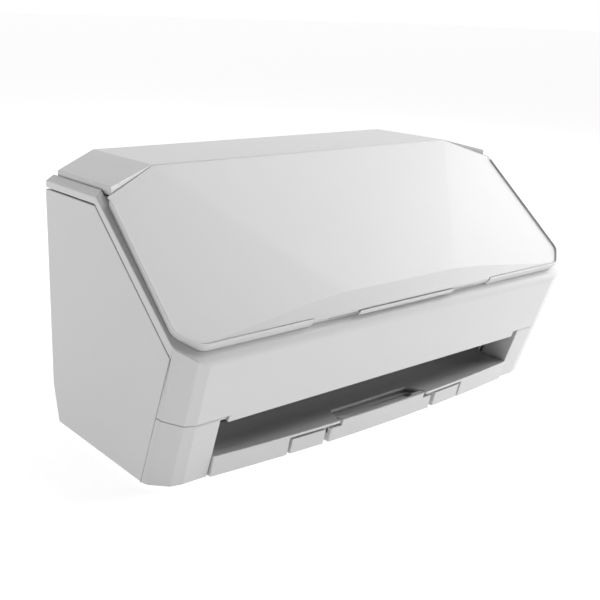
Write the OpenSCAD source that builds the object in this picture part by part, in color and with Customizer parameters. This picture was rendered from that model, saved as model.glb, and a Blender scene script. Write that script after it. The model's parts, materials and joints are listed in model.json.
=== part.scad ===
// Desktop sheet-fed document scanner.
// Millimetres, +Z up, the front faces -Y, and the origin is under the middle of the body on the desk.
// The cover and its ridge fold back to make the paper chute, the upper unit swings forward
// about two pins in the front corners, and a two-stage tray pulls out under the exit slot.

/* [Body] */
// Overall width
body_w = 292; // [290:1:294]
// Overall depth
body_d = 161; // [161:1:164]
// Overall height
body_h = 152; // [152:0.5:153]
// Height of the side panels
side_top = 135; // [134.5:0.5:135]
// Thickness of the outer walls
wall = 2.5; // [2.4:0.1:2.6]

/* [Cover] */
// Slope of the closed cover
cover_angle = 40.5; // [40.4:0.1:40.6]
// Half the width of the flat top and of the cover's upper edge
crown_half = 111; // [110:1:111]
// Depth of the ridge behind the cover's upper edge
ridge_d = 62.2; // [61.8:0.2:62.4]

/* [Front] */
// Lean of the front face, back towards its foot
lean = 18.5; // [18.4:0.1:18.6]

/* [Paper path] */
// Slope of the straight paper path
path_angle = 40.3; // [40.2:0.1:40.4]
// Radius of the driven rollers
roller_r = 8; // [7.9:0.1:8]
// Radius of the idler rollers
idler_r = 6; // [5.8:0.1:6]

/* [Hidden] */
$fn = 48;

half_w = body_w / 2;
back_y = body_d / 2;
gap = 0.4;                    // seam between neighbouring covers
top_gap = 0.85;               // seam over the side panels
eps = 0.01;

// Front face and corner section
foot_y = -56.2;               // where the front face would reach the desk
seam_h = 40.7;                // corner seam, measured up the front face
lip_h = 36.6;                 // lower lip of the front panel, measured up the front face
lip_half = 111.5;
corner_in = 116.3;            // inner side of the lower corner pieces
nose_r = 5;

// Cover plane
crown_y = 1.1;
slope_depth = 5.3;            // arm slope face under the cover plane
arm_top = 139.5;
arm_back = 50;
arm_low = 125;
arm_in = 126;                 // inner side of the arms
rim_half = 141.2;             // inner side of the rim on the arms, beside the ridge
rim_h = 3;
ridge_half = 140.4;
roof_fall = 9.6;              // fall of the ridge's end slopes, over 39 mm
cover_len = 106.3;
plate_t = 1.2;
tray_t = 3.8;
flange_t = 0.8;

// Chute hinge and guide plane
pivot_y = 52;
pivot_z = 140.5;
pin_r = 2.5;
run_gap = 0.05;               // radial clearance of a running fit
guide_y = 48;
guide_z = 132.5;
guide_angle = 20.5;
guide_t = 2;
deck_drop = 9.6;              // deck plane under the guide plane, vertically
deck_t = 2.2;
deck_front = -72;
deck_back = 16;
cheek_x = 117.3;
cheek_t = 2.5;
ear_x = 112;
ear_t = 4;

// Paper path, its origin at the middle of the exit slot
slot_y = -66;
slot_z = 25;
path_gap = 1.2;               // from the paper to each guide plate
path_half = 119;
path_plate = 2;
eject_t = 32;
feed_t = 80;
pick_t = 101;
lower_scan_t = 58;
upper_scan_t = 51;
scan_len = 16;                // of each scan unit, along the path
scan_deep = 16;
shaft_r = 3;
idler_shaft_r = 2;
brake_r = 6.4;
scan_half = 114;
lead_t = 26;                  // the upper guide is narrow below this, between the corner pieces
tyre_half = 9;
pick_spots = [22];            // tyres, from the middle
feed_spots = [34, 84];

// Drive
chassis_x = 121;
chassis_t = 2;
pulley_teeth = 22;
motor_teeth = 12;
belt_pitch = 2;
pulley_r = pulley_teeth * belt_pitch / (2 * PI);
motor_pulley_r = motor_teeth * belt_pitch / (2 * PI);
belt_x = -134;
belt_w = 6;
motor_y = 22;
motor_z = 50;
motor_shaft_r = 1.5;

// Side guides
rack_module = 1;
pinion_teeth = 16;
pinion_r = rack_module * pinion_teeth / 2;
rack_v = -50;                 // pinion axis, along the guide plane

// Stacker
exit_top = 15;
exit_t = 1.8;
block_out = 115.6;
block_in = 68.7;
bow_y = -65.7;                // foremost point of the front blocks at the exit tray's level
bow_r = 1173;
block_lean = 14;
tray_half = 66.8;
tray_block_in = 44.2;
slide_half = 40.4;
slide_z = 7.6;
tray_top = 11.9;
recess_half = 30;
recess_back = -54;
stop_y = -63.9;
stop_z = 11.6;
stop_t = 1.6;

// Scan button and release tab, on the deck
button_x = 84;
button_y = -24;
button_r = 9;
tab_x = -84;
tab_y = -40;

// Base
floor_z = 1.8;
floor_t = 2.5;
rear_top = 123;
inlet_x = -70;
usb_x = -45;
port_z = 26;
board_y = 69;
bush_r = 4.6;

function front_pt(depth, height) = [
    foot_y + depth * cos(lean) - height * sin(lean),
    depth * sin(lean) + height * cos(lean)];
function cover_z(y, depth) = body_h + (y - crown_y) * tan(cover_angle) - depth / cos(cover_angle);
function cover_y(z, depth) = crown_y + (z - body_h + depth / cos(cover_angle)) / tan(cover_angle);
function path_pt(t, off) = [
    slot_y + t * cos(path_angle) - off * sin(path_angle),
    slot_z + t * sin(path_angle) + off * cos(path_angle)];
function guide_at(y) = guide_z + (y - guide_y) * tan(guide_angle);
function bow(x) = bow_y + x * x / (2 * bow_r);

// Corner of the slope face and the front face before rounding, and the centre of its round
nose_z = (body_h + (foot_y - crown_y) * tan(cover_angle) - slope_depth / cos(cover_angle))
    / (1 + tan(lean) * tan(cover_angle));
nose_y = foot_y - nose_z * tan(lean);
nose_half = (cover_angle + 90 - lean) / 2;
nose_c = [nose_y, nose_z] + nose_r / sin(nose_half)
    * [cos(cover_angle - nose_half), sin(cover_angle - nose_half)];
function nose_arc(r) = [for (i = [0:8])
    let (a = 90 + cover_angle + i * (90 + lean - cover_angle) / 8) nose_c + r * [cos(a), sin(a)]];

// Front hinge of the upper unit
hinge_depth = 2.3;
hinge_h = 38.6;
hinge_pt = front_pt(hinge_depth, hinge_h);
hinge_r = 1;

// ---------- placing helpers ----------

// Extrude a (Y, Z) outline along X
module along_x(x0, x1) {
    translate([x0, 0, 0]) rotate([90, 0, 90]) linear_extrude(x1 - x0) children();
}

// The same on both sides, mirrored
module both_sides() {
    children();
    mirror([1, 0, 0]) children();
}

module on_side(side) {
    if (side < 0) children();
    else mirror([1, 0, 0]) children();
}

// Cover frame: X, up the slope, outward normal
module cover_frame() {
    translate([0, crown_y, body_h]) rotate([cover_angle, 0, 0]) children();
}

// Front frame: X, depth behind the face, height up the face
module front_frame() {
    translate([0, foot_y, 0]) rotate([lean, 0, 0]) children();
}

// Path frame: X, up the path, above the paper
module path_frame() {
    translate([0, slot_y, slot_z]) rotate([path_angle, 0, 0]) children();
}

// Guide frame: X, up the chute's guide plane, its normal towards the cover
module guide_frame() {
    translate([0, guide_y, guide_z]) rotate([guide_angle, 0, 0]) children();
}

module rod_x(x0, x1, y, z, r) {
    translate([x0, y, z]) rotate([0, 90, 0]) cylinder(h = x1 - x0, r = r);
}

module rod_y(x, y0, y1, z, r) {
    translate([x, y1, z]) rotate([90, 0, 0]) cylinder(h = y1 - y0, r = r);
}

module box(x0, x1, y0, y1, z0, z1) {
    translate([x0, y0, z0]) cube([x1 - x0, y1 - y0, z1 - z0]);
}

// ---------- shared outlines ----------

panel_outline = [[50.5, side_top], [-3.1, side_top], [-69.4, 76.2], [-41.5, 2], [47.2, 2], [52.4, 24]];

// The side panel's outline with a seam all round it
module panel_zone() {
    shifts = [[0, 0], [0, top_gap], [-0.65 * gap, 0.76 * gap], [-gap, 0.3 * gap],
        [gap, 0], [gap, -0.3 * gap]];
    for (v = shifts)
        translate(v) polygon(panel_outline);
}

// Section of the front and its faceted corners: X against depth behind the front face
corner_half = [[half_w, 13], [half_w - 0.35, 11], [half_w - 1.1, 9.4], [half_w - 2.2, 8.1], [137, 1.5],
    [130.8, 0]];
corner_half_in = [[half_w - 2.8, 11.4], [135.7, 3.8], [130.3, wall]];
function reversed(points) = [for (i = [len(points) - 1:-1:0]) points[i]];
function mirrored(points) = [for (i = [len(points) - 1:-1:0]) [-points[i][0], points[i][1]]];

module corner_prism(points, back) {
    front_frame() translate([0, 0, -40]) linear_extrude(260)
        polygon(concat([[points[0][0], back]], points, mirrored(points), [[-points[0][0], back]]));
}

// Side view of an arm and the front above the corner seam
module arm_outline(inset, grow) {
    polygon(concat(
        [[arm_back - inset, arm_low - grow], [arm_back - inset, arm_top - inset],
            [cover_y(arm_top - inset, slope_depth + inset), arm_top - inset]],
        nose_arc(nose_r - inset),
        [front_pt(inset, seam_h - grow), front_pt(20 + grow, seam_h - grow), front_pt(20 + grow, 69),
            [cover_y(arm_low - grow, 22 + grow), arm_low - grow]]));
}

// Side view of a lower corner piece
module foot_outline(inset, grow) {
    h = seam_h - gap - inset;
    polygon([front_pt(inset, (2 + inset) / cos(lean)), front_pt(inset, h), front_pt(18 + grow, h),
        [-36 + grow, 2 + inset]]);
}

// The cover's lower corner: a chamfer with softened ends between the side and the lower edge
function low_corner(side, end, cut) = [[side, end - cut - 3], [side - 0.5, end - cut - 0.3],
    [side - 1.9, end - cut + 1.9], [side - cut + 1.9, end - 1.9], [side - cut - 0.3, end - 0.5],
    [side - cut - 3, end]];

// Outlines of the cover, X against distance down the slope: the outer plate, the tray's flange, the rim
// that stands up from the flange beside the plate, and the tray's body under the flange
rim_end = cover_len + 0.6;
flange_corner = low_corner(144.7, rim_end, 10.4);
plate_half = concat([[crown_half, 0], [143, 16.7], [143, 18.4], [141.9, 19.7]],
    low_corner(143.5, cover_len - 1, 9.7), [[68, cover_len - 1], [68, cover_len]]);
tray_end = [[68, rim_end], [68, cover_len - 0.4]];
flange_half = concat([[crown_half, 1.6], [142, 17.9], [143.1, 19.2]], flange_corner, tray_end);
body_half = concat([[crown_half, 1.6], [141.4, 17.5], [142.3, 19.2]],
    low_corner(144.1, rim_end, 10.8), tray_end);
rim_strip = concat([[142.3, 20.2], [143.1, 19.2]], flange_corner, [[68.4, rim_end], [68.4, cover_len - 0.65]],
    reversed(low_corner(143.9, cover_len - 0.65, 9.8)));
function down(points) = [for (p = points) [p[0], -p[1]]];

module slope_plate(points, top, depth) {
    right = down(points);
    cover_frame() translate([0, 0, -depth]) linear_extrude(depth - top)
        polygon(concat([[crown_half, 8]], right, mirrored(right), [[-crown_half, 8]]));
}

ridge_plan = [[crown_half, crown_y], [ridge_half, -9.2], [ridge_half, 47.4], [crown_half, crown_y + ridge_d]];

module ridge_prism(grow, z0, z1) {
    p = ridge_plan;
    right = [p[0] - [0, grow], p[1] + [grow, -grow], p[2] + [grow, grow], p[3] + [0, grow]];
    translate([0, 0, z0]) linear_extrude(z1 - z0) polygon(concat(right, mirrored(right)));
}

// Front view of the ridge: a flat top with a slope at each end
module ridge_roof(drop) {
    top = body_h - drop;
    translate([0, 100, 0]) rotate([90, 0, 0]) linear_extrude(200)
        polygon([[-150, 100], [-150, top - roof_fall], [-crown_half, top], [crown_half, top],
            [150, top - roof_fall], [150, 100]]);
}

// ---------- base ----------

module base_tray() {
    boss = [[100, -20], [100, 60]];
    color("gainsboro") difference() {
        union() {
            translate([0, 0, floor_z]) linear_extrude(floor_t)
                polygon([[-143, -33], [-115.6, -33], [-115.6, -50], [115.6, -50], [115.6, -33], [143, -33],
                    [143, 43.5], [140.4, 43.5], [140.4, 53.5], [134.4, 64.5], [127.7, 77.8], [-127.7, 77.8],
                    [-134.4, 64.5], [-140.4, 53.5], [-140.4, 43.5], [-143, 43.5]]);
            both_sides() box(140.6, 143, -30, 43.4, floor_z, 16);
            both_sides() for (p = boss) translate([p[0], p[1], floor_z]) cylinder(h = 11, r = 5);
        }
        both_sides() for (p = boss) translate([p[0], p[1], 0]) {
            cylinder(h = 20, r = 1.5);
            cylinder(h = 4, r = 3.1);
        }
    }
}

module side_panel(side) {
    color("gainsboro") on_side(side) difference() {
        union() {
            along_x(-half_w, -half_w + wall) polygon(panel_outline);
            for (p = [[38, 30], [38, 108], [-30, 60]]) rod_x(-half_w + 1, -half_w + 6, p[0], p[1], 3.4);
        }
        for (p = [[38, 30], [38, 108], [-30, 60]]) rod_x(-half_w + 3, -half_w + 7, p[0], p[1], 1.2);
    }
}

module side_panel_left() { side_panel(-1); }
module side_panel_right() { side_panel(1); }

module corner(side) {
    recess = 0.3;
    chamfer = 2.8;
    top = seam_h - gap;
    color("gainsboro") on_side(side) difference() {
        intersection() {
            translate([0, recess, 0]) corner_prism(corner_half, 60);
            along_x(-half_w, -corner_in) foot_outline(0, 0);
        }
        intersection() {
            translate([0, recess, 0]) corner_prism(corner_half_in, 60);
            along_x(-half_w + 2.8, -corner_in - wall) foot_outline(wall, 4);
        }
        along_x(-half_w - 1, -half_w + 2.9) panel_zone();
        along_x(-half_w - 1, -corner_in + 1) polygon([front_pt(recess - 2, top - chamfer),
            front_pt(recess + chamfer, top + 2), front_pt(recess - 2, top + 2)]);
        rod_x(-130, -corner_in + 1, hinge_pt[0], hinge_pt[1], hinge_r);
    }
}

module corner_left() { corner(-1); }
module corner_right() { corner(1); }

// Plan of the rear cover, whose sides slip in behind the side panels
module rear_plan(inset, front) {
    half = [[143.2 - inset, front], [143.2 - inset, 53.5 + inset * 0.4], [137.2 - inset * 0.9, 66],
        [130.6 - inset * 0.6, back_y - inset]];
    polygon(concat(half, mirrored(half)));
}

module rear_cover() {
    color("gainsboro") difference() {
        translate([0, 0, 2]) linear_extrude(rear_top - 2) rear_plan(0, 44);
        translate([0, 0, floor_z + floor_t + 0.2]) linear_extrude(rear_top - floor_z - floor_t - wall - 0.2)
            rear_plan(2.7, 40);
        linear_extrude(floor_z + floor_t + 0.3) rear_plan(2.5, 40);
        rod_y(inlet_x, back_y - 6, back_y + 5, port_z, 5.6);
        box(usb_x - 6.4, usb_x + 6.4, back_y - 6, back_y + 5, port_z - 5.9, port_z + 5.9);
        box(104, 111, back_y - 6, back_y + 5, 28, 31);
        for (i = [0:9]) box(-45 + i * 10, -39 + i * 10, back_y - 6, back_y + 5, 60, 62.5);
    }
}

module chassis(side) {
    bores = [eject_t, feed_t, pick_t];
    color("silver") on_side(side) difference() {
        along_x(-chassis_x - chassis_t, -chassis_x)
            polygon([[-30, floor_z + floor_t], [-44, 33], path_pt(23, -2), path_pt(122, -2), [62, 84],
                [62, floor_z + floor_t]]);
        for (t = bores) rod_x(-chassis_x - 9, -chassis_x + 9, roller_pt(t)[0], roller_pt(t)[1], bush_r);
        if (side < 0) rod_x(-chassis_x - 9, -chassis_x + 9, motor_y, motor_z, 5);
    }
}

module chassis_left() { chassis(-1); }
module chassis_right() { chassis(1); }

module chassis_bar() {
    color("silver") difference() {
        box(-chassis_x, chassis_x, 44, 56, 66, 82);
        box(-chassis_x - 1, chassis_x + 1, 45.5, 57, 67.5, 80.5);
    }
}

function roller_pt(t) = path_pt(t, -roller_r - 0.1);
function idler_pt(t, r) = path_pt(t, r + 0.1);

// Openings for two or four rollers at one place on the path
module roller_windows(t, r, spots, half_len) {
    for (x = spots) both_sides()
        translate([x - half_len - 1, t - r - 1, -10]) cube([2 * half_len + 2, 2 * r + 2, 20]);
}

module lower_guide() {
    low = -path_gap - path_plate;
    color("dimgray") difference() {
        union() {
            path_frame() box(-path_half, path_half, 24, 124, low, -path_gap);
            along_x(-110, 110) polygon([path_pt(122, low), path_pt(122, -path_gap), [42.5, rear_top - 2.6],
                [43.6, rear_top - 2.6], [43.6, rear_top - 5]]);
        }
        path_frame() {
            box(-scan_half, scan_half, lower_scan_t - scan_len / 2, lower_scan_t + scan_len / 2, -10, 5);
            roller_windows(pick_t, roller_r, pick_spots, tyre_half);
            roller_windows(feed_t, roller_r, feed_spots, tyre_half);
            roller_windows(eject_t, roller_r, feed_spots, tyre_half);
        }
    }
}

// A scan unit: an open channel under (sign -1) or over (sign 1) the paper
module scan_unit(t, sign) {
    near = path_gap + path_plate + 0.1;
    mirror_z = sign < 0 ? 1 : 0;
    path_frame() mirror([0, 0, mirror_z]) difference() {
        box(-scan_half, scan_half, t - scan_len / 2, t + scan_len / 2, near, near + scan_deep);
        box(-scan_half + 2, scan_half - 2, t - scan_len / 2 + 2, t + scan_len / 2 - 2, near - 1,
            near + scan_deep - 2);
    }
}

module scan_glass(t, sign) {
    mirror_z = sign < 0 ? 1 : 0;
    path_frame() mirror([0, 0, mirror_z])
        box(-scan_half + 0.2, scan_half - 0.2, t - scan_len / 2 + 0.2, t + scan_len / 2 - 0.2,
            path_gap + 0.2, path_gap + path_plate);
}

module scan_sensor(t, sign) {
    mirror_z = sign < 0 ? 1 : 0;
    path_frame() mirror([0, 0, mirror_z]) {
        box(-108, 108, t - 4, t + 4, 12, 15);
        box(-106, 106, t - 1.5, t + 1.5, 5, 12);
    }
}

module lower_scan_unit() { color("dimgray") scan_unit(lower_scan_t, -1); }
module lower_glass() { color("lightblue", 0.5) scan_glass(lower_scan_t, -1); }
module lower_sensor() { color("darkgreen") scan_sensor(lower_scan_t, -1); }
module upper_scan_unit() { color("dimgray") scan_unit(upper_scan_t, 1); }
module upper_glass() { color("lightblue", 0.5) scan_glass(upper_scan_t, 1); }
module upper_sensor() { color("darkgreen") scan_sensor(upper_scan_t, 1); }

// Bowed and leaning front of the exit tray and the stacker blocks
module bowed_prism(back) {
    top_x = 120;
    translate([0, 0, exit_top]) rotate([block_lean, 0, 0]) translate([0, 0, -40]) linear_extrude(60)
        polygon(concat([for (x = [-top_x:8:top_x]) [x, bow(x)]], [[top_x, back], [-top_x, back]]));
}

module exit_floor() {
    curve_r = 30;
    rise = 28;
    foot = -50;
    top = [for (i = [0:6]) let (a = i * rise / 6)
        [foot + curve_r * sin(a), exit_top + curve_r * (1 - cos(a))]];
    low = [for (i = [6:-1:0]) let (a = i * rise / 6)
        [foot + (curve_r + exit_t) * sin(a), exit_top - exit_t + (curve_r + exit_t) * (1 - cos(a))]];
    polygon(concat([[-90, exit_top]], top, low, [[-90, exit_top - exit_t]]));
}

module exit_tray() {
    color("gainsboro") difference() {
        intersection() {
            bowed_prism(60);
            union() {
                along_x(-block_out, block_out) exit_floor();
                both_sides() box(block_in, block_out, -80, -50.5, 2.2, exit_top);
                both_sides() box(tray_half + 0.5, tray_half + 2.5, -60, 48, 4.5, exit_top - 0.1);
            }
        }
        both_sides() box(block_in + wall, block_out - wall, -59, -40, 4.5, exit_top - exit_t);
        translate([0, 0, exit_top - 5]) linear_extrude(20)
            polygon([[-34.6, -80], [-34.6, -64], [-recess_half, recess_back], [recess_half, recess_back],
                [34.6, -64], [34.6, -80]]);
    }
}

module motor() {
    color("dimgray") difference() {
        union() {
            rod_x(-chassis_x + 0.1, -chassis_x + 30, motor_y, motor_z, 17.5);
            rod_x(-chassis_x - 1.9, -chassis_x + 0.2, motor_y, motor_z, 4.8);
        }
        rod_x(-chassis_x - 3, -chassis_x + 12, motor_y, motor_z, motor_shaft_r + run_gap);
    }
}

module loop_outline(extra) {
    hull() {
        for (t = [eject_t, pick_t]) translate(roller_pt(t)) circle(r = pulley_r + extra);
        translate([motor_y, motor_z]) circle(r = motor_pulley_r + extra);
    }
}

module drive_belt() {
    color("black") along_x(belt_x - belt_w / 2, belt_x + belt_w / 2) difference() {
        loop_outline(1.7);
        loop_outline(0.2);
    }
}

module main_board() {
    color("darkgreen") box(-95, 50, board_y, board_y + 1.6, 12, 92);
    color("black") for (x = [-20, 5, 30]) box(x - 8, x + 8, board_y - 2.2, board_y, 50, 66);
    color("white") for (x = [-60, -40, 20]) box(x - 7, x + 7, board_y - 6, board_y, 76, 84);
}

module power_inlet() {
    color("black") difference() {
        union() {
            box(inlet_x - 6, inlet_x + 6, board_y + 1.6, back_y - 3, port_z - 6, port_z + 6);
            rod_y(inlet_x, back_y - 4, back_y - 0.4, port_z, 5.2);
        }
        rod_y(inlet_x, board_y + 3, back_y + 1, port_z, 2.75);
    }
}

module usb_socket() {
    color("silver") difference() {
        box(usb_x - 6, usb_x + 6, board_y + 1.6, back_y - 0.4, port_z - 5.5, port_z + 5.5);
        box(usb_x - 4.3, usb_x + 4.3, board_y + 3, back_y + 1, port_z - 4, port_z + 4);
    }
    color("white") box(usb_x - 2.9, usb_x + 2.9, board_y + 3, back_y - 5.6, port_z - 1.6, port_z + 1.6);
}

module feet() {
    color("dimgray") both_sides() for (p = [[118, -22], [108, 62]])
        translate([p[0], p[1], 0]) cylinder(h = floor_z, r = 8);
}

module case_screws() {
    color("silver") both_sides() for (y = [-20, 60]) translate([100, y, 0]) {
        translate([0, 0, 2.2]) cylinder(h = 1.8, r = 2.8);
        translate([0, 0, 3.9]) cylinder(h = 7, r = 1.5);
    }
}

module hinge_pins() {
    color("silver") both_sides()
        rod_x(107.6, corner_in + wall, hinge_pt[0], hinge_pt[1], hinge_r);
}

module roller_bushes() {
    color("darkgoldenrod") both_sides() for (t = [eject_t, feed_t, pick_t]) difference() {
        union() {
            rod_x(chassis_x - 0.8, chassis_x + chassis_t + 0.1, roller_pt(t)[0], roller_pt(t)[1], bush_r);
            rod_x(chassis_x + chassis_t, chassis_x + chassis_t + 1, roller_pt(t)[0], roller_pt(t)[1], 6);
        }
        rod_x(chassis_x - 5, chassis_x + 9, roller_pt(t)[0], roller_pt(t)[1], shaft_r + run_gap);
    }
}

// ---------- driven rollers ----------

module driven_shaft(t) {
    p = roller_pt(t);
    color("silver") rod_x(belt_x - belt_w / 2 - 1.5, chassis_x + 4.5, p[0], p[1], shaft_r);
}

module tyres(t, spots) {
    color("dimgray") both_sides() for (x = spots) difference() {
        rod_x(x - tyre_half, x + tyre_half, roller_pt(t)[0], roller_pt(t)[1], roller_r);
        rod_x(x - tyre_half - 1, x + tyre_half + 1, roller_pt(t)[0], roller_pt(t)[1], shaft_r);
    }
}

// Toothed pulley between two flanges, with its shaft's bore
module pulley(y, z, r, teeth, bore) {
    half = belt_w / 2 + 0.4;
    flange = 1;
    step = 360 / teeth;
    groove = 0.6;
    section = [for (i = [0:teeth - 1]) each [
        [r - groove, (i - 0.2) * step], [r - groove, (i + 0.2) * step], [r, (i + 0.3) * step],
        [r, (i + 0.7) * step]]];
    translate([belt_x, y, z]) rotate([0, 90, 0]) difference() {
        union() {
            translate([0, 0, -half - flange / 2]) linear_extrude(2 * half + flange)
                polygon([for (p = section) p[0] * [cos(p[1]), sin(p[1])]]);
            for (w = [-half - flange, half]) translate([0, 0, w]) cylinder(h = flange, r = r + 1.4);
        }
        translate([0, 0, -half - 2]) cylinder(h = 2 * half + 4, r = bore);
    }
}

module driven_pulley(t) {
    color("gainsboro") pulley(roller_pt(t)[0], roller_pt(t)[1], pulley_r, pulley_teeth, shaft_r);
}

module pick_shaft() { driven_shaft(pick_t); }
module pick_rollers() { tyres(pick_t, pick_spots); }
module pick_pulley() { driven_pulley(pick_t); }
module feed_shaft() { driven_shaft(feed_t); }
module feed_rollers() { tyres(feed_t, feed_spots); }
module feed_pulley() { driven_pulley(feed_t); }
module eject_shaft() { driven_shaft(eject_t); }
module eject_rollers() { tyres(eject_t, feed_spots); }
module eject_pulley() { driven_pulley(eject_t); }

module motor_pulley() {
    color("silver") {
        pulley(motor_y, motor_z, motor_pulley_r, motor_teeth, motor_shaft_r);
        rod_x(belt_x - belt_w / 2, -chassis_x + 11, motor_y, motor_z, motor_shaft_r);
    }
}

// ---------- upper unit ----------

module front_cover() {
    bore = hinge_r + run_gap;
    lug_r = 2;
    color("whitesmoke") difference() {
        union() {
            difference() {
                intersection() {
                    corner_prism(corner_half, 160);
                    along_x(-half_w, half_w) arm_outline(0, 0);
                }
                intersection() {
                    corner_prism(corner_half_in, 170);
                    along_x(-half_w - 1, half_w + 1) arm_outline(wall, 2);
                }
                along_x(-arm_in, arm_in) polygon([[deck_front, cover_z(deck_front, 9)], [deck_front, 200],
                    [70, 200], [70, 110], [-30, 110]]);
                both_sides() along_x(-half_w - 1, -half_w + 2.9) panel_zone();
            }
            both_sides() along_x(arm_in, arm_in + wall) arm_outline(0, 0);
            both_sides() arm_rim();
            front_frame() box(-lip_half, lip_half, 0, wall, lip_h, seam_h + 1);
            both_sides() rod_x(107, lip_half, hinge_pt[0], hinge_pt[1], lug_r);
            both_sides() ear();
        }
        both_sides() translate([0, 0, arm_low - 1]) linear_extrude(20)
            polygon([[arm_in - 1, arm_back - 2.5], [arm_in + 4.5, arm_back + 1], [arm_in - 1, arm_back + 1]]);
        both_sides() rod_x(107.3, lip_half + 1, hinge_pt[0], hinge_pt[1], bore);
        both_sides() rod_x(ear_x - 1, ear_x + ear_t + 1, pivot_y, pivot_z, pin_r + run_gap);
    }
}

// Low rim along the top of an arm, beside the ridge
module arm_rim() {
    low = arm_top - 0.2;
    high = arm_top + rim_h + 1;
    intersection() {
        along_x(arm_in, half_w) polygon([[arm_back, low], [arm_back, high],
            [cover_y(high, slope_depth), high], [cover_y(low, slope_depth), low]]);
        translate([0, 100, 0]) rotate([90, 0, 0]) linear_extrude(200)
            polygon([[half_w, low], [half_w, arm_top], [rim_half, arm_top + rim_h], [rim_half, low]]);
    }
}

// Ear that carries the chute's pin, on a web from the arm's inner wall
module ear() {
    along_x(ear_x, ear_x + ear_t) {
        polygon([[33.2, 123.9], [33.2, 117], [41.6, 117], [41.6, 120.8], [55.8, 137.6], [48.2, 143.4]]);
        translate([pivot_y, pivot_z]) circle(r = 5);
    }
    box(ear_x + ear_t - eps, arm_in + eps, 33.2, 41.6, 117, 123.9);
    box(cheek_x + cheek_t + 1, arm_in + eps, 33.2, 41.6, 117, 131);
}

function deck_at(y) = guide_at(y) - deck_drop;

// Deck frame: X, up the deck, its normal, from the middle of the scan button
module deck_frame(y) {
    translate([0, y, deck_at(y)]) rotate([guide_angle, 0, 0]) children();
}

module deck_panel() {
    y0 = deck_front + 0.4;
    back = deck_back;
    color("whitesmoke") difference() {
        union() {
            along_x(-arm_in + 0.2, arm_in - 0.2) polygon([[y0, deck_at(y0)], [back, deck_at(back)],
                [back, 98], [back - 2, 97.2], [back - 2, deck_at(back - 2) - deck_t],
                [y0, deck_at(y0) - deck_t]]);
            deck_frame(button_y) translate([button_x, 0, -8]) cylinder(h = 7, r = 11);
        }
        deck_frame(button_y) translate([button_x, 0, -6.5]) cylinder(h = 12, r = button_r + 0.3);
        deck_frame(tab_y) box(tab_x - 7.5, tab_x + 7.5, -5, 9, -10, 5);
    }
}

module scan_button() {
    color("lightsteelblue") deck_frame(button_y) translate([button_x, 0, -4.5])
        cylinder(h = 5.3, r = button_r);
}

module release_tab() {
    color("silver") deck_frame(tab_y) {
        box(tab_x - 10, tab_x + 10, -8, 9.8, 0.3, 1.5);
        box(tab_x - 6, tab_x + 6, -4, -1, -7, 0.4);
        for (v = [-6, -3, 0]) box(tab_x - 8, tab_x + 8, v, v + 1.2, 1.4, 2.2);
    }
}

module upper_guide() {
    high = path_gap + path_plate;
    color("dimgray") difference() {
        union() {
            path_frame() {
                box(-path_half, path_half, lead_t, 106, path_gap, high);
                box(-corner_in + 1, corner_in - 1, 13, lead_t + 1, path_gap, high);
            }
            path_frame() both_sides() translate([path_half, 0, 0]) rotate([90, 0, 90]) linear_extrude(2)
                polygon([[lead_t, path_gap], [106, path_gap], [106, 10.5], [88, 13], [lead_t, 13]]);
        }
        path_frame() {
            box(-scan_half, scan_half, upper_scan_t - scan_len / 2, upper_scan_t + scan_len / 2, -5, 10);
            roller_windows(pick_t, brake_r, pick_spots, tyre_half);
            roller_windows(feed_t, idler_r, feed_spots, tyre_half);
            roller_windows(eject_t, idler_r, feed_spots, tyre_half);
        }
        for (p = [idler_pt(pick_t, brake_r), idler_pt(feed_t, idler_r), idler_pt(eject_t, idler_r)])
            rod_x(-130, 130, p[0], p[1], idler_shaft_r + run_gap);
    }
}

// Shaft and rollers in one piece, running in the upper guide's cheeks
module idlers(t, r, spots) {
    p = idler_pt(t, r);
    rod_x(-path_half - 2.5, path_half + 2.5, p[0], p[1], idler_shaft_r);
    both_sides() for (x = spots) rod_x(x - tyre_half, x + tyre_half, p[0], p[1], r);
}

module brake_roller() { color("dimgray") idlers(pick_t, brake_r, pick_spots); }
module feed_idlers() { color("gainsboro") idlers(feed_t, idler_r, feed_spots); }
module eject_idlers() { color("gainsboro") idlers(eject_t, idler_r, feed_spots); }

// ---------- chute ----------

module ridge_cap() {
    low = 140.3;
    color("whitesmoke") difference() {
        intersection() {
            ridge_prism(0, low, 160);
            ridge_roof(0);
        }
        intersection() {
            ridge_prism(-2, low - 1, 160);
            ridge_roof(2);
        }
        both_sides() box(ear_x - 0.8, ear_x + ear_t + 0.8, pivot_y + 4, 90, low - 5, 149.6);
    }
}

module cover_plate() {
    color("whitesmoke") difference() {
        slope_plate(plate_half, 0, plate_t);
        ridge_prism(0.35, 100, 200);
    }
}

module cover_tray() {
    color("gainsboro") difference() {
        union() {
            slope_plate(body_half, plate_t, plate_t + tray_t);
            slope_plate(flange_half, plate_t, plate_t + flange_t);
            cover_frame() both_sides() translate([0, 0, -plate_t - eps]) linear_extrude(plate_t + eps)
                polygon(down(rim_strip));
        }
        ridge_prism(0.35, 100, 200);
        cover_frame() box(-56.5, 56.5, -130, -46, -4.1, -1);
    }
}

module chute_extension() {
    color("gainsboro") cover_frame() difference() {
        union() {
            box(-55.5, 55.5, -105.2, -52, -3.7, -2.4);
            box(-36.5, 36.5, -cover_len - 1.4, -cover_len + 4, -3.7, -2.4);
            box(-36.5, 36.5, -cover_len - 1.4, -cover_len - 0.5, -3.7, -0.6);
        }
        box(-30, 30, -90, -70, -5, 0);
    }
}

module cheek_outline() {
    translate([pivot_y, pivot_z]) circle(r = 4);
    polygon([[56, 147.2], [2.5, 147.2], [2.5, 139.8], [-3, 139.8], [-3, cover_z(-3, plate_t + tray_t)],
        [-56, cover_z(-56, plate_t + tray_t)], [-56, guide_at(-56) + 0.05], [46, guide_at(46) + 0.05],
        [52, 134.6]]);
}

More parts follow.
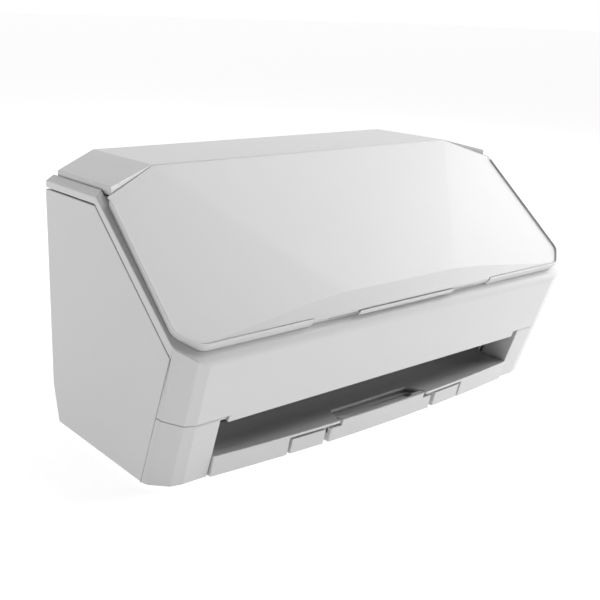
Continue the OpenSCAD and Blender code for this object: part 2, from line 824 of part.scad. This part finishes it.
module chute_frame() {
    color("gainsboro") difference() {
        union() {
            both_sides() along_x(cheek_x, cheek_x + cheek_t) cheek_outline();
            guide_frame() box(-cheek_x - eps, cheek_x + eps, -24, -22, guide_t, 14);
        }
        both_sides() rod_x(cheek_x - 1, cheek_x + cheek_t + 1, pivot_y, pivot_z, pin_r);
        guide_frame() box(-112, 112, -30, -20, 8.5, 12);
    }
}

module guide_panel() {
    slot = [rack_v + pinion_r + 1.1, rack_v + pinion_r + 4.9];
    stub_h = 4.9;
    color("gainsboro") {
        difference() {
            guide_frame() box(-cheek_x, cheek_x, -111, -1, 0.1, guide_t);
            guide_frame() both_sides() box(ear_x - 1, 130, -22, 5, -5, 5);
            guide_frame() box(-110.5, -30, slot[0], slot[1], -5, 5);
            guide_frame() box(30, 110.5, 2 * rack_v - slot[1], 2 * rack_v - slot[0], -5, 5);
        }
        guide_frame() translate([0, rack_v, guide_t - eps]) cylinder(h = stub_h, r = 2.5);
    }
}

module chute_pins() {
    color("silver") both_sides()
        rod_x(ear_x - 0.4, cheek_x + cheek_t, pivot_y, pivot_z, pin_r);
}

// Paper guide on the left; the right one is the same, turned half round about the pinion
module side_guide() {
    post_v = rack_v + pinion_r + 1.4;
    guide_frame() {
        box(-110.2, -108.2, -62, -14, -6.5, -0.3);
        box(-110.2, -94, -62, -14, -1.8, -0.3);
        box(-109, -104, post_v, post_v + 3.2, -0.4, guide_t + 0.4);
    }
}

module half_turn() {
    guide_frame() translate([0, rack_v, 0]) rotate([0, 0, 180]) translate([0, -rack_v, 0])
        rotate([-guide_angle, 0, 0]) translate([0, -guide_y, -guide_z]) children();
}

module side_guide_left() { color("gainsboro") side_guide(); }
module side_guide_right() { color("gainsboro") half_turn() side_guide(); }

// Rack with straight-sided teeth that point at the pinion
module rack() {
    pitch = PI * rack_module;
    backlash = 0.35;
    half_tooth = pitch / 4 - backlash / 2;
    flank = tan(20);
    add = 0.85;
    ded = 1.15;
    pitch_v = rack_v + pinion_r + 0.05;
    guide_frame() translate([0, 0, guide_t + 0.4]) linear_extrude(4) {
        for (i = [-33:5]) translate([i * pitch, pitch_v])
            polygon([[-half_tooth + add * flank, -add], [half_tooth - add * flank, -add],
                [half_tooth + ded * flank, ded + eps], [-half_tooth - ded * flank, ded + eps]]);
        translate([-110, pitch_v + ded]) square([128, 3.8]);
    }
}

module guide_rack_left() { color("white") rack(); }
module guide_rack_right() { color("white") half_turn() rack(); }

function inv(r, base) = let (a = acos(base / r)) tan(a) * 180 / PI - a;

module guide_pinion() {
    base = pinion_r * cos(20);
    tip = pinion_r + 0.85 * rack_module;
    root = pinion_r - 1.2 * rack_module;
    backlash = 0.2;
    half_angle = 90 / pinion_teeth - backlash / pinion_r * 90 / PI;
    radii = [for (i = [0:4]) base + (tip - base) * i / 4];
    function flank(r) = half_angle + inv(pinion_r, base) - inv(r, base);
    tooth = concat([[root, flank(base)]], [for (r = radii) [r, flank(r)]]);
    outline = [for (k = [0:pinion_teeth - 1]) let (mid = 90 + (k + 0.5) * 360 / pinion_teeth)
        each concat([for (p = tooth) p[0] * [cos(mid - p[1]), sin(mid - p[1])]],
            [for (i = [len(tooth) - 1:-1:0]) tooth[i][0]
                * [cos(mid + tooth[i][1]), sin(mid + tooth[i][1])]])];
    color("white") guide_frame() translate([0, rack_v, guide_t + 0.4]) linear_extrude(4) difference() {
        polygon(outline);
        circle(r = 2.5 + run_gap);
    }
}

// ---------- stacker ----------

module stacker_tray() {
    color("gainsboro") difference() {
        intersection() {
            bowed_prism(60);
            union() {
                box(-tray_half, tray_half, -80, 45, tray_top - 2, tray_top);
                both_sides() box(tray_block_in, tray_half, -80, -51, 2.4, tray_top);
                both_sides() box(tray_half - 2, tray_half, -60, 45, 5, tray_top);
            }
        }
        translate([0, 0, 5]) linear_extrude(20)
            polygon([[-34.6, -80], [-34.6, -64], [-31, -58], [-1, -58], [-1, -55.5], [29.5, -55.5],
                [34.6, -64], [34.6, -80]]);
        box(-tray_half - 1, tray_half + 1, -80, -75, tray_top - 0.8, 20);
        box(-tray_block_in, tray_block_in, -80, -62.4, 2, 20);
    }
}

module stacker_slide() {
    color("gainsboro") difference() {
        intersection() {
            bowed_prism(60);
            union() {
                box(-slide_half, slide_half, -80, 40, slide_z - 2, slide_z);
                box(-slide_half, slide_half, -80, -62.8, 2.2, 11.4);
                box(-32.8, 32.8, -80, -62.8, 2.2, exit_top);
                box(-slide_half, slide_half, -66, -51.5, 2.2, slide_z);
            }
        }
        box(-24.5, 24.5, -64.9, -62, stop_z - 1.4, 20);
    }
}

module stacker_stop() {
    color("gainsboro") {
        box(-24, 24, stop_y, -58.6, stop_z - stop_t / 2, stop_z + stop_t / 2);
        rod_x(-24, 24, stop_y, stop_z, stop_t / 2);
    }
}

base_tray();
side_panel_left();
side_panel_right();
corner_left();
corner_right();
rear_cover();
chassis_left();
chassis_right();
chassis_bar();
lower_guide();
lower_scan_unit();
lower_glass();
lower_sensor();
exit_tray();
motor();
drive_belt();
main_board();
power_inlet();
usb_socket();
feet();
case_screws();
hinge_pins();
roller_bushes();
pick_shaft();
pick_rollers();
pick_pulley();
feed_shaft();
feed_rollers();
feed_pulley();
eject_shaft();
eject_rollers();
eject_pulley();
motor_pulley();
front_cover();
deck_panel();
upper_guide();
upper_scan_unit();
upper_glass();
upper_sensor();
brake_roller();
feed_idlers();
eject_idlers();
scan_button();
release_tab();
ridge_cap();
cover_plate();
cover_tray();
chute_frame();
guide_panel();
chute_pins();
side_guide_left();
side_guide_right();
guide_rack_left();
guide_rack_right();
guide_pinion();
chute_extension();
stacker_tray();
stacker_slide();
stacker_stop();
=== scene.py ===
import bmesh
import bpy
import json
import math
from mathutils import Matrix, Vector


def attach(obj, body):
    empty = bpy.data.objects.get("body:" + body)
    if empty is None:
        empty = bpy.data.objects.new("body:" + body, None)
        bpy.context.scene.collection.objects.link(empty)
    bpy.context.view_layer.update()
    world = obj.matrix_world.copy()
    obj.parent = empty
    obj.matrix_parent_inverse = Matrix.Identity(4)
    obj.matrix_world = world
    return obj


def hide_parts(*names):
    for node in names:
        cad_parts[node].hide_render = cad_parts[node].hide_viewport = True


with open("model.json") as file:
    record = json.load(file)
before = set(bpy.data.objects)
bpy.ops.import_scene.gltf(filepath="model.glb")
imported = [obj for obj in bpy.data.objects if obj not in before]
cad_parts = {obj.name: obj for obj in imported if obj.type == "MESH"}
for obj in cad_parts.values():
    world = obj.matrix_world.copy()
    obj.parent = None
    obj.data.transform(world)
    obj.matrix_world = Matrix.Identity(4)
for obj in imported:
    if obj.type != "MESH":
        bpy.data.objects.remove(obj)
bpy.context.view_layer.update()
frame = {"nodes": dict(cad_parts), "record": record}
nodes = frame["nodes"]
body_of = {n: b for b, names in frame["record"]["behaviour"]["bodies"].items() for n in names}
slot_of = {s["node"]: s["material_slot"] for s in frame["record"]["subparts"]}
MM = 0.001
WHITE = (1, 1, 1, 1)


# ---------- camera ----------

CAMERA_PLACE = Vector((-358.9, -407.6, 227.3)) * MM
CAMERA_AZIMUTH = math.radians(40.6)
CAMERA_DIP = math.radians(17.04)
CAMERA_ROLL = math.radians(1.95)
CAMERA_LENS = 55.84
SENSOR_WIDTH = 36


def make_camera():
    data = bpy.data.cameras.new("camera")
    data.lens = CAMERA_LENS
    data.sensor_width = SENSOR_WIDTH
    data.clip_start = 0.01
    camera = bpy.data.objects.new("camera", data)
    camera.matrix_world = (Matrix.Translation(CAMERA_PLACE)
        @ Matrix.Rotation(-CAMERA_AZIMUTH, 4, "Z")
        @ Matrix.Rotation(math.pi / 2 - CAMERA_DIP, 4, "X")
        @ Matrix.Rotation(CAMERA_ROLL, 4, "Z"))
    bpy.context.scene.collection.objects.link(camera)
    bpy.context.scene.camera = camera


# ---------- materials ----------

def new_material(name):
    material = bpy.data.materials.new(name)
    material.use_nodes = True
    tree = material.node_tree
    return material, tree, tree.nodes["Principled BSDF"]


def object_noise(tree, scale, detail):
    place = tree.nodes.new("ShaderNodeTexCoord")
    noise = tree.nodes.new("ShaderNodeTexNoise")
    noise.inputs["Scale"].default_value = scale
    noise.inputs["Detail"].default_value = detail
    tree.links.new(place.outputs["Object"], noise.inputs["Vector"])
    return noise


def spread(tree, source, low, high):
    """Stretch a noise value, which mostly lies between 0.3 and 0.7, over low to high."""
    span = tree.nodes.new("ShaderNodeMapRange")
    span.inputs["From Min"].default_value = 0.3
    span.inputs["From Max"].default_value = 0.7
    span.inputs["To Min"].default_value = low
    span.inputs["To Max"].default_value = high
    tree.links.new(source, span.inputs["Value"])
    return span.outputs["Result"]


def add_bump(tree, shader, source, depth):
    bump = tree.nodes.new("ShaderNodeBump")
    bump.inputs["Strength"].default_value = 1
    bump.inputs["Distance"].default_value = depth
    tree.links.new(source, bump.inputs["Height"])
    tree.links.new(bump.outputs["Normal"], shader.inputs["Normal"])


def tint(tree, shader, source, colour, change):
    """Vary the base colour a little either way."""
    mix = tree.nodes.new("ShaderNodeMix")
    mix.data_type = "RGBA"
    mix.inputs["A"].default_value = [c * (1 - change) for c in colour] + [1]
    mix.inputs["B"].default_value = [min(1, c * (1 + change)) for c in colour] + [1]
    tree.links.new(source, mix.inputs["Factor"])
    tree.links.new(mix.outputs["Result"], shader.inputs["Base Color"])


def moulded(name, colour, rough, grain=0.012, grain_size=0.5, gloss=0.5):
    """Moulded plastic: fine spark texture, slow changes of tone and gloss."""
    material, tree, shader = new_material(name)
    shader.inputs["Specular IOR Level"].default_value = gloss
    texture = object_noise(tree, scale=1 / (grain_size * MM), detail=2)
    clouds = object_noise(tree, scale=35, detail=3)
    tint(tree, shader, clouds.outputs["Fac"], colour, change=0.012)
    roughness = spread(tree, texture.outputs["Fac"], rough - 0.04, rough + 0.05)
    tree.links.new(roughness, shader.inputs["Roughness"])
    add_bump(tree, shader, texture.outputs["Fac"], grain * MM)
    return material


def brushed(name, colour, rough):
    """Metal with fine lines across the part."""
    material, tree, shader = new_material(name)
    shader.inputs["Metallic"].default_value = 1
    place = tree.nodes.new("ShaderNodeTexCoord")
    stretch = tree.nodes.new("ShaderNodeMapping")
    stretch.inputs["Scale"].default_value = (1, 40, 40)
    lines = tree.nodes.new("ShaderNodeTexNoise")
    lines.inputs["Scale"].default_value = 60
    lines.inputs["Detail"].default_value = 3
    tree.links.new(place.outputs["Object"], stretch.inputs["Vector"])
    tree.links.new(stretch.outputs["Vector"], lines.inputs["Vector"])
    tint(tree, shader, lines.outputs["Fac"], colour, change=0.06)
    roughness = spread(tree, lines.outputs["Fac"], rough - 0.06, rough + 0.08)
    tree.links.new(roughness, shader.inputs["Roughness"])
    add_bump(tree, shader, lines.outputs["Fac"], 0.01 * MM)
    return material


def glass(name):
    """Clear plate with a faint film."""
    material, tree, shader = new_material(name)
    shader.inputs["Transmission Weight"].default_value = 0.85
    shader.inputs["IOR"].default_value = 1.5
    film = object_noise(tree, scale=80, detail=2)
    tint(tree, shader, film.outputs["Fac"], (0.8, 0.86, 0.88), change=0.02)
    tree.links.new(spread(tree, film.outputs["Fac"], 0.02, 0.06), shader.inputs["Roughness"])
    return material


MATERIALS = {
    "shell_white": moulded("white_plastic", (0.605, 0.605, 0.607), 0.38),
    "shell_grey": moulded("light_grey_plastic", (0.605, 0.605, 0.608), 0.46),
    "guide_black": moulded("black_plastic", (0.035, 0.035, 0.04), 0.4),
    "scan_glass": glass("scan_glass"),
    "board_green": moulded("board_green", (0.02, 0.14, 0.06), 0.35),
    "steel": brushed("zinc_steel", (0.55, 0.56, 0.57), 0.35),
    "bronze": brushed("bronze", (0.55, 0.36, 0.16), 0.4),
    "roller_rubber": moulded("rubber", (0.045, 0.045, 0.05), 0.75, grain=0.03, grain_size=0.8, gloss=0.3),
    "gear_white": moulded("acetal", (0.78, 0.78, 0.74), 0.35),
    "motor_black": moulded("motor_black", (0.03, 0.03, 0.032), 0.45),
    "button_blue": moulded("button_blue", (0.12, 0.32, 0.62), 0.25),
    "tab_grey": moulded("tab_grey", (0.3, 0.31, 0.33), 0.4),
}
TRAY_FINISH = moulded("tray_white_plastic", (0.605, 0.605, 0.608), 0.4)


def finish_of(node):
    """The node's material: the exit tray is a little glossier than the other grey parts."""
    return TRAY_FINISH if node == "exit_tray" else MATERIALS[slot_of[node]]


# ---------- shells with rounded edges ----------

BEVEL_SEGMENTS = 3
BEVEL_FROM = math.radians(24)
SHARP_FROM = math.radians(11)
FLAT_WITHIN = math.radians(0.4)
WELD = 1e-6


def clean_copy(node):
    """The CAD node's mesh with its flat triangles joined into whole faces."""
    mesh = nodes[node].data.copy()
    bm = bmesh.new()
    bm.from_mesh(mesh)
    bmesh.ops.remove_doubles(bm, verts=bm.verts, dist=WELD)
    bmesh.ops.dissolve_limit(bm, angle_limit=FLAT_WITHIN, verts=bm.verts, edges=bm.edges)
    bm.to_mesh(mesh)
    bm.free()
    return mesh


def place_piece(piece, node):
    """Show piece instead of a CAD node, on the same body and with the same finish."""
    piece.data.materials.clear()
    piece.data.materials.append(finish_of(node))
    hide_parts(node)
    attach(piece, body_of[node])


def rounded(node, width):
    """A copy of a CAD node with its sharp edges rounded."""
    finish_shell(node, clean_copy(node), width)


def finish_shell(node, mesh, width, smooth=SHARP_FROM):
    """Round the mesh's edges by width millimetres, smooth it and put it in the node's place."""
    piece = bpy.data.objects.new(node + "_shell", mesh)
    bpy.context.scene.collection.objects.link(piece)
    bevel = piece.modifiers.new("bevel", "BEVEL")
    bevel.width = width * MM
    bevel.segments = BEVEL_SEGMENTS
    bevel.limit_method = "ANGLE"
    bevel.angle_limit = BEVEL_FROM
    bevel.use_clamp_overlap = False
    bevel.miter_outer = "MITER_ARC"
    weighted = piece.modifiers.new("weighted", "WEIGHTED_NORMAL")
    weighted.keep_sharp = True
    mark_smooth(piece.data, smooth)
    place_piece(piece, node)


def mark_smooth(mesh, angle):
    """Smooth shading, apart from creases above the angle that aren't rounded."""
    bm = bmesh.new()
    bm.from_mesh(mesh)
    for face in bm.faces:
        face.smooth = True
    for edge in bm.edges:
        edge.smooth = not (len(edge.link_faces) == 2 and edge.calc_face_angle(0) > angle)
    bm.to_mesh(mesh)
    bm.free()


# ---------- faceted cover plate ----------

# The plate starts at CROWN and falls forwards at COVER_ANGLE; its other lengths are in millimetres
COVER_ANGLE = math.radians(40.5)
CROWN = Vector((0, 1.1, 152)) * MM
PLATE_T = 1.2
PLATE_TOP = 0.5
PLATE_LENGTH = 106.3
PLATE_ROUND = 0.35
FACET_SHARP_FROM = math.radians(0.5)
CROWN_HALF = 111
MIDDLE_END = (43, 96)
FACET_FALL = 0.034
LIP_DEPTH = 2.2
LIP_SPAN = (36.8, 67.6)
LIP_T = 0.35
LIP_BITE = 0.3


def on_cover(x, down, height):
    """A point on the cover in millimetres: across, down the slope, and out from its plane."""
    return CROWN + Vector((x, -down * math.cos(COVER_ANGLE) - height * math.sin(COVER_ANGLE),
        -down * math.sin(COVER_ANGLE) + height * math.cos(COVER_ANGLE))) * MM


def cover_plate():
    """Plate with a flat middle, a corner facet each side, a narrow lower band and two lips."""
    edge = [(CROWN_HALF, PLATE_TOP), (143, 16.7), (143, 18.4), (141.9, 19.7), (143.5, 92.6), (143, 95.3),
        (141.6, 97.5), (135.7, 103.4), (133.5, 104.8), (130.8, 105.3)]
    lower = [(68, 105.3), (68, PLATE_LENGTH)]
    crease = [(111, 102.9), (89, 100.3), (68, 97.7), MIDDLE_END]
    bm = bmesh.new()

    def vertex(x, down, height):
        return bm.verts.new(on_cover(x, down, height))

    top = {}
    low = {}
    for side in (-1, 1):
        # The corner facets fall steadily from the middle's lower corners to the plate's outer edges
        for x, down in edge + crease:
            top[side * x, down] = vertex(side * x, down, FACET_FALL * (CROWN_HALF - x))
        for x, down in lower:
            top[side * x, down] = vertex(side * x, down, 0)
        for x, down in edge + lower:
            low[side * x, down] = vertex(side * x, down, -PLATE_T)
    end_x, end_down = MIDDLE_END
    bm.faces.new([top[-CROWN_HALF, PLATE_TOP], top[CROWN_HALF, PLATE_TOP],
        top[end_x, end_down], top[-end_x, end_down]])
    for side in (-1, 1):
        bm.faces.new([top[side * x, down] for x, down in edge + crease])
    band = edge[-1:] + crease
    bottom = edge[-1:] + lower
    bm.faces.new([top[x, down] for x, down in band] + [top[-x, down] for x, down in band[::-1]]
        + [top[-x, down] for x, down in bottom[1:]] + [top[x, down] for x, down in bottom[:0:-1]])
    rim = edge + lower + [(-x, down) for x, down in (edge + lower)[::-1]]
    for a, b in zip(rim, rim[1:] + rim[:1]):
        bm.faces.new([top[a], top[b], low[b], low[a]])
    bm.faces.new([low[p] for p in rim])
    for side in (-1, 1):
        outline = [(LIP_SPAN[0], 0), (LIP_SPAN[1], 0), (LIP_SPAN[1], LIP_T), (LIP_SPAN[0], LIP_T)]
        corners = [vertex(side * x, PLATE_LENGTH - down, height)
            for height in (-LIP_DEPTH, -PLATE_T + LIP_BITE) for x, down in outline]
        for quad in ((0, 1, 2, 3), (4, 7, 6, 5), (0, 4, 5, 1), (1, 5, 6, 2), (2, 6, 7, 3), (3, 7, 4, 0)):
            bm.faces.new([corners[i] for i in quad])
    bmesh.ops.recalc_face_normals(bm, faces=bm.faces)
    mesh = bpy.data.meshes.new("cover_plate")
    bm.to_mesh(mesh)
    bm.free()
    finish_shell("cover_plate", mesh, PLATE_ROUND, FACET_SHARP_FROM)


# Edge radius of each rounded shell, in millimetres
ROUNDED = {
    "front_cover": 0.5,
    "side_panel_left": 0.4,
    "side_panel_right": 0.4,
    "corner_left": 0.4,
    "corner_right": 0.4,
    "ridge_cap": 0.5,
    "cover_tray": 0.2,
    "exit_tray": 0.4,
    "stacker_tray": 0.35,
    "stacker_slide": 0.5,
    "stacker_stop": 0.3,
    "chute_extension": 0.25,
    "base_tray": 0.4,
    "deck_panel": 0.4,
    "scan_button": 0.6,
    "release_tab": 0.25,
    "guide_panel": 0.3,
    "chute_frame": 0.3,
    "side_guide_left": 0.25,
    "side_guide_right": 0.25,
}


# ---------- stage ----------

FLOOR_SIZE = 60
FLOOR_GREY = (0.55, 0.55, 0.55)
FLOOR_GLOW = 0.75
# The world's light is WORLD_LOW in front, and WORLD_BACK is added towards BACK_WAY
WORLD_LOW = 0.1
WORLD_BACK = 1.0
BACK_WAY = Vector((0.34, 0.94, 0.0))
# The bright band above the floor fades out between these two upward parts of the view direction
HORIZON = (0.05, 0.22)
LIGHT_TARGET = Vector((0, 0, 0.07))
# Each light's place in metres, its size and its power
LIGHTS = {
    "right": ((1.0, -0.25, 0.5), 0.9, 7.6),
    "right_low": ((1.0, -0.45, 0.15), 0.6, 2.9),
    "right_top": ((0.5, -0.2, 1.0), 0.9, 6.3),
    "left": ((-0.85, 0.9, 0.35), 0.9, 3.1),
}


def make_floor():
    mesh = bpy.data.meshes.new("floor")
    half = FLOOR_SIZE / 2
    corners = [(-half, -half, 0), (half, -half, 0), (half, half, 0), (-half, half, 0)]
    mesh.from_pydata(corners, [], [(0, 1, 2, 3)])
    floor = bpy.data.objects.new("floor", mesh)
    bpy.context.scene.collection.objects.link(floor)
    material, tree, shader = new_material("paper_floor")
    noise = object_noise(tree, scale=30, detail=2)
    tint(tree, shader, noise.outputs["Fac"], FLOOR_GREY, change=0.004)
    shader.inputs["Roughness"].default_value = 0.9
    shader.inputs["Emission Color"].default_value = WHITE
    shader.inputs["Emission Strength"].default_value = FLOOR_GLOW
    mesh.materials.append(material)


def make_lights():
    for name, (place, size, power) in LIGHTS.items():
        data = bpy.data.lights.new(name, "AREA")
        data.shape = "DISK"
        data.size = size
        data.energy = power
        light = bpy.data.objects.new(name, data)
        light.location = place
        light.rotation_euler = (LIGHT_TARGET - Vector(place)).to_track_quat("-Z", "Y").to_euler()
        bpy.context.scene.collection.objects.link(light)


def make_world():
    """White light that grows towards the back, with a bright band all round just above the floor."""
    world = bpy.data.worlds.new("studio")
    world.use_nodes = True
    tree = world.node_tree
    background = tree.nodes["Background"]
    background.inputs["Color"].default_value = WHITE
    way = tree.nodes.new("ShaderNodeTexCoord")
    along = tree.nodes.new("ShaderNodeVectorMath")
    along.operation = "DOT_PRODUCT"
    along.inputs[1].default_value = BACK_WAY
    level = tree.nodes.new("ShaderNodeMapRange")
    level.inputs["To Min"].default_value = WORLD_LOW
    level.inputs["To Max"].default_value = WORLD_LOW + WORLD_BACK
    tree.links.new(way.outputs["Generated"], along.inputs[0])
    tree.links.new(along.outputs["Value"], level.inputs["Value"])
    split = tree.nodes.new("ShaderNodeSeparateXYZ")
    tree.links.new(way.outputs["Generated"], split.inputs["Vector"])
    band = tree.nodes.new("ShaderNodeMapRange")
    band.inputs["From Min"].default_value = HORIZON[0]
    band.inputs["From Max"].default_value = HORIZON[1]
    band.inputs["To Min"].default_value = 1
    band.inputs["To Max"].default_value = 0
    tree.links.new(split.outputs["Z"], band.inputs["Value"])
    brighter = tree.nodes.new("ShaderNodeMath")
    brighter.operation = "MAXIMUM"
    tree.links.new(level.outputs["Result"], brighter.inputs[0])
    tree.links.new(band.outputs["Result"], brighter.inputs[1])
    tree.links.new(brighter.outputs["Value"], background.inputs["Strength"])
    bpy.context.scene.world = world


make_camera()
make_floor()
make_lights()
make_world()
bpy.context.scene.view_settings.view_transform = "Standard"
for node_name, node_object in nodes.items():
    node_object.data.materials.clear()
    node_object.data.materials.append(finish_of(node_name))
for node_name, edge_radius in ROUNDED.items():
    rounded(node_name, edge_radius)
cover_plate()
